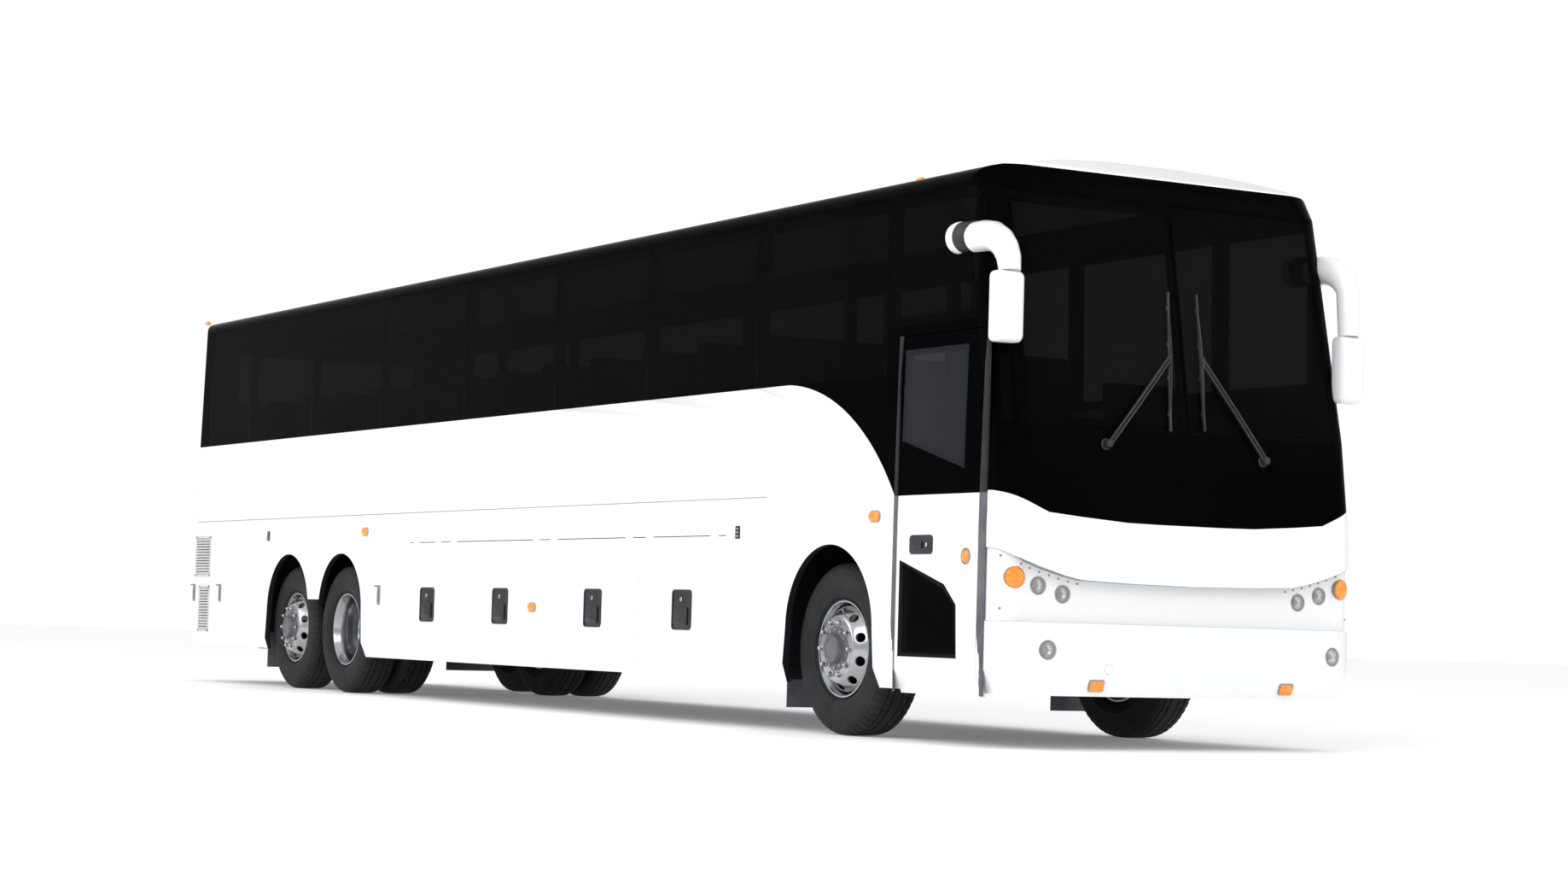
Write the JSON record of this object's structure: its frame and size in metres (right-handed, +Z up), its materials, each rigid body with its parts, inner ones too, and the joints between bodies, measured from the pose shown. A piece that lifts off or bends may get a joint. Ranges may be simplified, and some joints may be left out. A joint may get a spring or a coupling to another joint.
{
  "type": "three-axle coach bus",
  "caption": "High-deck intercity coach bus with a steered front axle, twin-tyred drive axle, tag axle, entrance door, luggage doors and engine door.",
  "frame": {"origin": "on the ground, below the middle of the overall box", "axes": "+X forward along the coach, +Y to its left, +Z up"},
  "size_m": [13.86, 2.8, 3.5598],
  "materials": {
    "white_paint": "gloss",
    "black_gloss": "gloss",
    "dark_glass": "tinted gloss",
    "clear_glass": "clear gloss",
    "lamp_lens": "clear gloss",
    "red_lens": "gloss",
    "amber_lens": "gloss",
    "black_steel": "satin",
    "engine_metal": "matt",
    "floor_board": "matt",
    "black_plastic": "matt",
    "black_rubber": "matt",
    "dash_plastic": "matt",
    "seat_fabric": "woven",
    "tyre": "matt",
    "polished_aluminium": "polished"
  },
  "bodies": {
    "coach_body": {"side_wall_right": "white_paint", "side_wall_left": "white_paint", "side_glass": "dark_glass", "corner_panels": "black_gloss", "roof_panel": "white_paint", "roof_pods": "white_paint", "front_mask": "white_paint", "windshield_surround": "black_gloss", "windshield_glass": "clear_glass", "lamp_band": "black_gloss", "front_bumper": "white_paint", "front_lamps": "lamp_lens", "rear_shell": "white_paint", "rear_glass": "dark_glass", "rear_lamps": "red_lens", "rear_bumper_beam": "black_steel", "floor_deck": "floor_board", "chassis_frame": "black_steel", "engine_block": "engine_metal", "wheel_arch_liners": "black_plastic", "axles": "black_steel", "air_springs": "black_rubber", "mirrors": "white_paint", "wipers": "black_plastic", "marker_lamps": "amber_lens", "mudflaps": "black_rubber", "dashboard": "dash_plastic", "seats": "seat_fabric"},
    "entrance_door": {"entrance_door": "white_paint", "entrance_door_glass": "dark_glass"},
    "service_door_right": {"service_door_right": "white_paint"},
    "luggage_door_rear_right": {"luggage_door_rear_right": "white_paint"},
    "luggage_door_middle_right": {"luggage_door_middle_right": "white_paint"},
    "luggage_door_front_right": {"luggage_door_front_right": "white_paint"},
    "service_door_left": {"service_door_left": "white_paint"},
    "luggage_door_rear_left": {"luggage_door_rear_left": "white_paint"},
    "luggage_door_middle_left": {"luggage_door_middle_left": "white_paint"},
    "luggage_door_front_left": {"luggage_door_front_left": "white_paint"},
    "engine_door": {"engine_door": "white_paint"},
    "steering_knuckle_right": {"knuckle_right": "black_steel"},
    "front_wheel_right": {"wheel_front_right": "polished_aluminium", "tyre_front_right": "tyre"},
    "drive_wheel_right": {"wheel_drive_right": "polished_aluminium", "tyre_drive_right": "tyre"},
    "tag_wheel_right": {"wheel_tag_right": "polished_aluminium", "tyre_tag_right": "tyre"},
    "steering_knuckle_left": {"knuckle_left": "black_steel"},
    "front_wheel_left": {"wheel_front_left": "polished_aluminium", "tyre_front_left": "tyre"},
    "drive_wheel_left": {"wheel_drive_left": "polished_aluminium", "tyre_drive_left": "tyre"},
    "tag_wheel_left": {"wheel_tag_left": "polished_aluminium", "tyre_tag_left": "tyre"}
  },
  "joints": [
    {"name": "entrance_door_hinge", "type": "hinge", "parent": "coach_body", "child": "entrance_door", "pos_m": [6.559, -1.299, 0.93], "axis": [0, 0, 1], "range_deg": [0, 85]},
    {"name": "service_door_right_hinge", "type": "hinge", "parent": "coach_body", "child": "service_door_right", "pos_m": [-1.3015, -1.299, 1.247], "axis": [-1, 0, 0], "range_deg": [0, 80]},
    {"name": "luggage_door_rear_right_hinge", "type": "hinge", "parent": "coach_body", "child": "luggage_door_rear_right", "pos_m": [-0.0445, -1.299, 1.247], "axis": [-1, 0, 0], "range_deg": [0, 80]},
    {"name": "luggage_door_middle_right_hinge", "type": "hinge", "parent": "coach_body", "child": "luggage_door_middle_right", "pos_m": [1.6, -1.299, 1.247], "axis": [-1, 0, 0], "range_deg": [0, 80]},
    {"name": "luggage_door_front_right_hinge", "type": "hinge", "parent": "coach_body", "child": "luggage_door_front_right", "pos_m": [2.961, -1.299, 1.247], "axis": [-1, 0, 0], "range_deg": [0, 80]},
    {"name": "service_door_left_hinge", "type": "hinge", "parent": "coach_body", "child": "service_door_left", "pos_m": [-1.3015, 1.299, 1.247], "axis": [1, 0, 0], "range_deg": [0, 80]},
    {"name": "luggage_door_rear_left_hinge", "type": "hinge", "parent": "coach_body", "child": "luggage_door_rear_left", "pos_m": [-0.0445, 1.299, 1.247], "axis": [1, 0, 0], "range_deg": [0, 80]},
    {"name": "luggage_door_middle_left_hinge", "type": "hinge", "parent": "coach_body", "child": "luggage_door_middle_left", "pos_m": [1.6, 1.299, 1.247], "axis": [1, 0, 0], "range_deg": [0, 80]},
    {"name": "luggage_door_front_left_hinge", "type": "hinge", "parent": "coach_body", "child": "luggage_door_front_left", "pos_m": [2.961, 1.299, 1.247], "axis": [1, 0, 0], "range_deg": [0, 80]},
    {"name": "engine_door_hinge", "type": "hinge", "parent": "coach_body", "child": "engine_door", "pos_m": [-6.923, 0, 1.427], "axis": [0, 1, 0], "range_deg": [0, 80]},
    {"name": "steering_right", "type": "hinge", "parent": "coach_body", "child": "steering_knuckle_right", "pos_m": [4.9, -0.985, 0.535], "axis": [0, 0, 1], "range_deg": [-35, 35]},
    {"name": "front_wheel_right_spin", "type": "hinge", "parent": "steering_knuckle_right", "child": "front_wheel_right", "pos_m": [4.9, -1.05, 0.535], "axis": [0, 1, 0], "continuous": true},
    {"name": "drive_wheel_right_spin", "type": "hinge", "parent": "coach_body", "child": "drive_wheel_right", "pos_m": [-3.17, -0.903, 0.535], "axis": [0, 1, 0], "continuous": true},
    {"name": "tag_wheel_right_spin", "type": "hinge", "parent": "coach_body", "child": "tag_wheel_right", "pos_m": [-4.41, -1.05, 0.535], "axis": [0, 1, 0], "continuous": true},
    {"name": "steering_left", "type": "hinge", "parent": "coach_body", "child": "steering_knuckle_left", "pos_m": [4.9, 0.985, 0.535], "axis": [0, 0, 1], "range_deg": [-35, 35]},
    {"name": "front_wheel_left_spin", "type": "hinge", "parent": "steering_knuckle_left", "child": "front_wheel_left", "pos_m": [4.9, 1.05, 0.535], "axis": [0, 1, 0], "continuous": true},
    {"name": "drive_wheel_left_spin", "type": "hinge", "parent": "coach_body", "child": "drive_wheel_left", "pos_m": [-3.17, 0.903, 0.535], "axis": [0, 1, 0], "continuous": true},
    {"name": "tag_wheel_left_spin", "type": "hinge", "parent": "coach_body", "child": "tag_wheel_left", "pos_m": [-4.41, 1.05, 0.535], "axis": [0, 1, 0], "continuous": true}
  ],
  "couplings": [
    {"joint": "steering_left", "follows": "steering_right", "ratio": 1}
  ]
}
